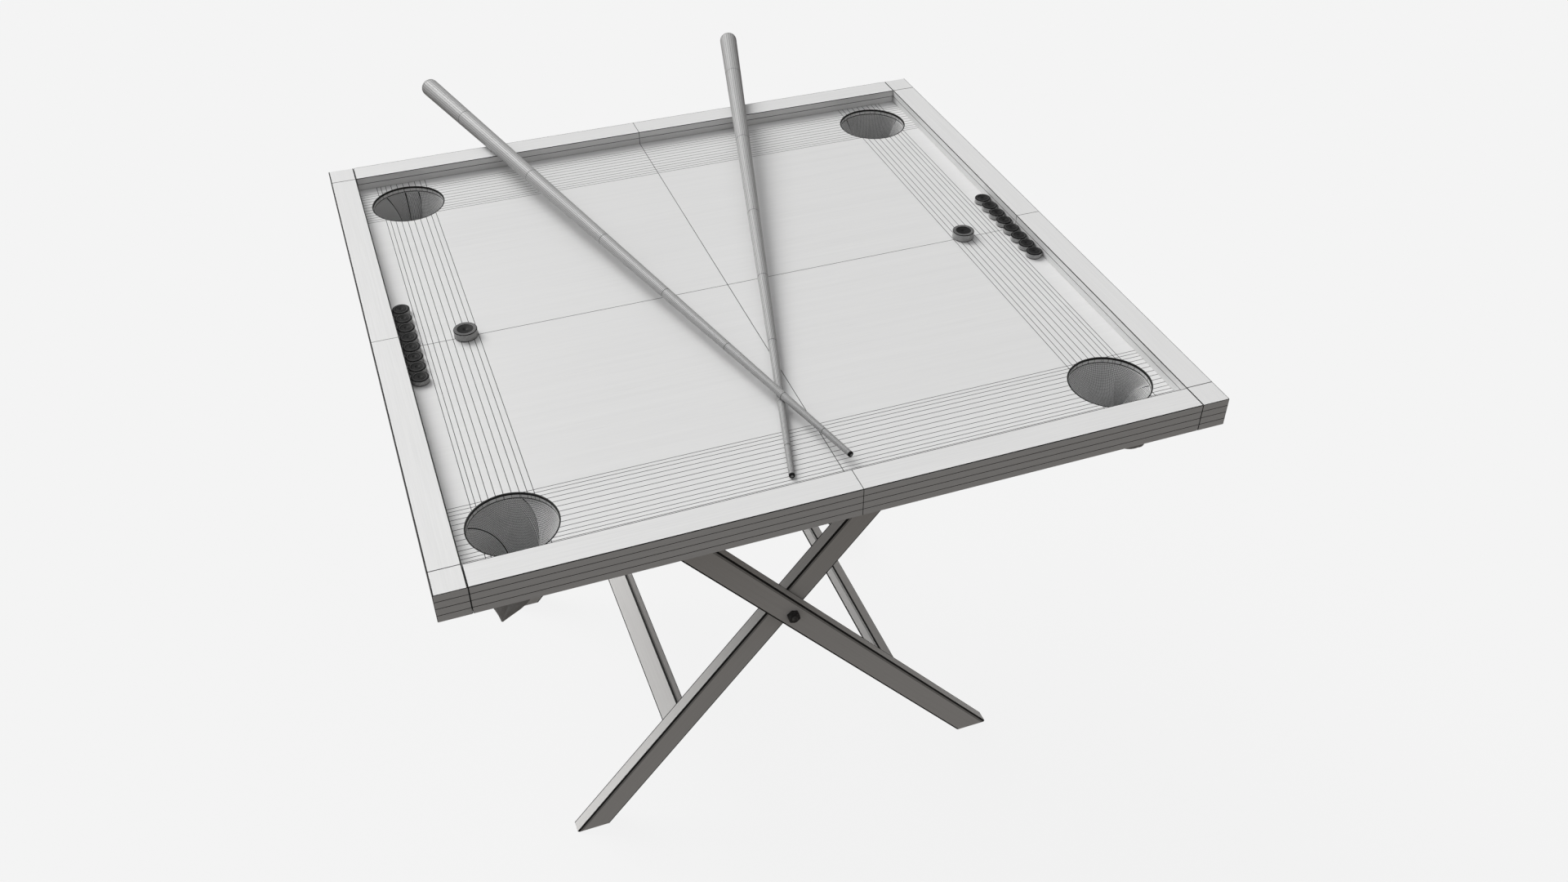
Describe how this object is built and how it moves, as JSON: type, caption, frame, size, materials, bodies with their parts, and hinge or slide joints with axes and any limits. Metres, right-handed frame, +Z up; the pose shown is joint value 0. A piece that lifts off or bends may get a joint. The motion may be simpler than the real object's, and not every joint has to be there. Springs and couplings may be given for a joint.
{
  "type": "carrom board",
  "caption": "Square rimmed cue-carrom board with netted corner pockets on a folding crossed-leg stand, with rows of pucks, strikers and tapered cues laid across.",
  "frame": {"origin": "floor level, under the centre of the whole set's outline, cues included; the table's own centre is 0.114 m towards -Y", "axes": "+Z up, +X along the front rail, +Y towards the cues' butts"},
  "size_m": [1, 1.2281, 0.8654],
  "materials": {
    "rail_wood": "satin pale grey lacquer over laminated strips",
    "surface_wood": "smooth pale grey lacquer with thin dark lines",
    "leg_wood": "satin grey lacquer",
    "cue_wood": "lacquered, with straight grain along the cue",
    "net_cord": "fine square mesh",
    "dark_steel": "blackened steel",
    "puck_plastic": "turned, with a finely ribbed edge",
    "tip_leather": "pressed, black"
  },
  "bodies": {
    "stand_a": {"leg_a_front": "leg_wood", "leg_a_rear": "leg_wood", "pivot_bolt_front": "dark_steel", "pivot_bolt_rear": "dark_steel", "pivot_nut_front": "dark_steel", "pivot_nut_rear": "dark_steel", "pivot_washer_front": "dark_steel", "pivot_washer_rear": "dark_steel", "stretcher_a": "leg_wood"},
    "stand_b": {"leg_b_front": "leg_wood", "leg_b_rear": "leg_wood", "stretcher_b": "leg_wood"},
    "board": {"bearer_left": "leg_wood", "bearer_right": "leg_wood", "bearer_screw_left_front": "dark_steel", "bearer_screw_left_rear": "dark_steel", "bearer_screw_right_front": "dark_steel", "bearer_screw_right_rear": "dark_steel", "playing_board": "surface_wood", "pocket_net_back_left": "net_cord", "pocket_net_back_right": "net_cord", "pocket_net_front_left": "net_cord", "pocket_net_front_right": "net_cord", "pocket_ring_back_left": "dark_steel", "pocket_ring_back_right": "dark_steel", "pocket_ring_front_left": "dark_steel", "pocket_ring_front_right": "dark_steel", "rail_back": "rail_wood", "rail_front": "rail_wood", "rail_left": "rail_wood", "rail_right": "rail_wood"},
    "cue_lower": {"cue_lower": "cue_wood", "cue_lower_tip": "tip_leather"},
    "cue_upper": {"cue_upper": "cue_wood", "cue_upper_tip": "tip_leather"},
    "puck_left_1": {"puck_left_1": "puck_plastic"},
    "puck_left_2": {"puck_left_2": "puck_plastic"},
    "puck_left_3": {"puck_left_3": "puck_plastic"},
    "puck_left_4": {"puck_left_4": "puck_plastic"},
    "puck_left_5": {"puck_left_5": "puck_plastic"},
    "puck_left_6": {"puck_left_6": "puck_plastic"},
    "puck_left_7": {"puck_left_7": "puck_plastic"},
    "puck_left_8": {"puck_left_8": "puck_plastic"},
    "puck_right_1": {"puck_right_1": "puck_plastic"},
    "puck_right_2": {"puck_right_2": "puck_plastic"},
    "puck_right_3": {"puck_right_3": "puck_plastic"},
    "puck_right_4": {"puck_right_4": "puck_plastic"},
    "puck_right_5": {"puck_right_5": "puck_plastic"},
    "puck_right_6": {"puck_right_6": "puck_plastic"},
    "puck_right_7": {"puck_right_7": "puck_plastic"},
    "puck_right_8": {"puck_right_8": "puck_plastic"},
    "striker_left": {"striker_left": "puck_plastic"},
    "striker_right": {"striker_right": "puck_plastic"}
  },
  "joints": [
    {"name": "board_lift", "type": "slide", "parent": "stand_a", "child": "board", "axis": [0, 0, 1], "range_m": [0, 0.48]},
    {"name": "stand_fold", "type": "hinge", "parent": "stand_a", "child": "stand_b", "pos_m": [0, -0.11405, 0.3945], "axis": [0, 1, 0], "range_deg": [0, 72]},
    {"name": "puck_left_1_lift", "type": "slide", "parent": "board", "child": "puck_left_1", "axis": [0, 0, 1], "range_m": [0, 0.05]},
    {"name": "puck_left_2_lift", "type": "slide", "parent": "board", "child": "puck_left_2", "axis": [0, 0, 1], "range_m": [0, 0.05]},
    {"name": "puck_left_3_lift", "type": "slide", "parent": "board", "child": "puck_left_3", "axis": [0, 0, 1], "range_m": [0, 0.05]},
    {"name": "puck_left_4_lift", "type": "slide", "parent": "board", "child": "puck_left_4", "axis": [0, 0, 1], "range_m": [0, 0.05]},
    {"name": "puck_left_5_lift", "type": "slide", "parent": "board", "child": "puck_left_5", "axis": [0, 0, 1], "range_m": [0, 0.05]},
    {"name": "puck_left_6_lift", "type": "slide", "parent": "board", "child": "puck_left_6", "axis": [0, 0, 1], "range_m": [0, 0.05]},
    {"name": "puck_left_7_lift", "type": "slide", "parent": "board", "child": "puck_left_7", "axis": [0, 0, 1], "range_m": [0, 0.05]},
    {"name": "puck_left_8_lift", "type": "slide", "parent": "board", "child": "puck_left_8", "axis": [0, 0, 1], "range_m": [0, 0.05]},
    {"name": "striker_left_slide", "type": "slide", "parent": "board", "child": "striker_left", "axis": [1, 0, 0], "range_m": [0, 0.2]},
    {"name": "puck_right_1_lift", "type": "slide", "parent": "board", "child": "puck_right_1", "axis": [0, 0, 1], "range_m": [0, 0.05]},
    {"name": "puck_right_2_lift", "type": "slide", "parent": "board", "child": "puck_right_2", "axis": [0, 0, 1], "range_m": [0, 0.05]},
    {"name": "puck_right_3_lift", "type": "slide", "parent": "board", "child": "puck_right_3", "axis": [0, 0, 1], "range_m": [0, 0.05]},
    {"name": "puck_right_4_lift", "type": "slide", "parent": "board", "child": "puck_right_4", "axis": [0, 0, 1], "range_m": [0, 0.05]},
    {"name": "puck_right_5_lift", "type": "slide", "parent": "board", "child": "puck_right_5", "axis": [0, 0, 1], "range_m": [0, 0.05]},
    {"name": "puck_right_6_lift", "type": "slide", "parent": "board", "child": "puck_right_6", "axis": [0, 0, 1], "range_m": [0, 0.05]},
    {"name": "puck_right_7_lift", "type": "slide", "parent": "board", "child": "puck_right_7", "axis": [0, 0, 1], "range_m": [0, 0.05]},
    {"name": "puck_right_8_lift", "type": "slide", "parent": "board", "child": "puck_right_8", "axis": [0, 0, 1], "range_m": [0, 0.05]},
    {"name": "striker_right_slide", "type": "slide", "parent": "board", "child": "striker_right", "axis": [-1, 0, 0], "range_m": [0, 0.2]},
    {"name": "cue_lower_draw", "type": "slide", "parent": "board", "child": "cue_lower", "axis": [0.2577, 0.9657, 0.0318], "range_m": [0, 0.3]},
    {"name": "cue_upper_draw", "type": "slide", "parent": "board", "child": "cue_upper", "axis": [-0.2635, 0.9645, 0.0184], "range_m": [0, 0.3]}
  ],
  "couplings": [
    {"joint": "stand_fold", "follows": "board_lift", "rad_per_m": 2.6}
  ]
}
